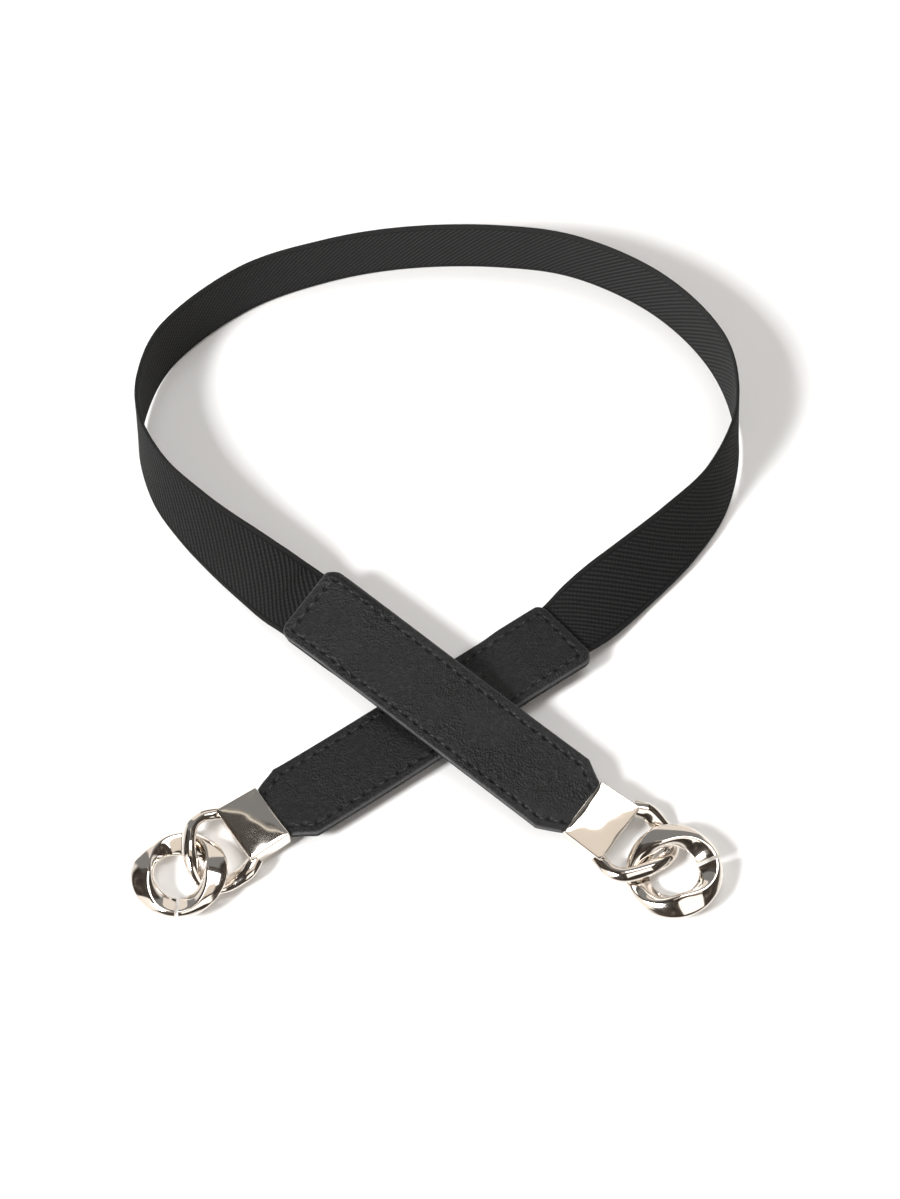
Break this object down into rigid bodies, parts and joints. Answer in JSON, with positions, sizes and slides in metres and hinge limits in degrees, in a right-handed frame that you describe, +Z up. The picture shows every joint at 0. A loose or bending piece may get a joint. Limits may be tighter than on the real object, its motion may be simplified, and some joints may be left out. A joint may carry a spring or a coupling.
{
  "type": "elastic waist belt",
  "caption": "Elastic waist belt laid in a loop, its sewn leather tabs crossed in front, each ending in a polished metal cap with a half curb link and a hinged twisted ring.",
  "frame": {"origin": "On the table under the middle of the belt's bounding box.", "axes": "+Y points from the crossed metal ends to the back of the loop, +X to the right in the picture and +Z up from the table."},
  "size_m": [0.1716, 0.2098, 0.0215],
  "materials": {
    "elastic": "black woven elastic with a fine diagonal rib",
    "leather": "black leather with a fine pebble grain, stitched near the edge",
    "metal": "polished pale nickel plating"
  },
  "bodies": {
    "belt": {"elastic_band": "elastic", "tab_front_right": "leather", "tab_back_right": "leather", "end_cap_right": "metal", "ring_body_right": "metal", "ring_pin_right": "metal", "tab_front_left": "leather", "tab_back_left": "leather", "end_cap_left": "metal", "ring_body_left": "metal", "ring_pin_left": "metal"},
    "gate_right": {"ring_gate_right": "metal"},
    "gate_left": {"ring_gate_left": "metal"}
  },
  "joints": [
    {"name": "gate_right_hinge", "type": "hinge", "parent": "belt", "child": "gate_right", "pos_m": [0.05097, -0.09332, 0.00214], "axis": [0.1157, 0.0983, -0.9884], "range_deg": [0, 60]},
    {"name": "gate_left_hinge", "type": "hinge", "parent": "belt", "child": "gate_left", "pos_m": [-0.06605, -0.081, 0.00216], "axis": [0.055, -0.1324, -0.9897], "range_deg": [0, 60]}
  ]
}
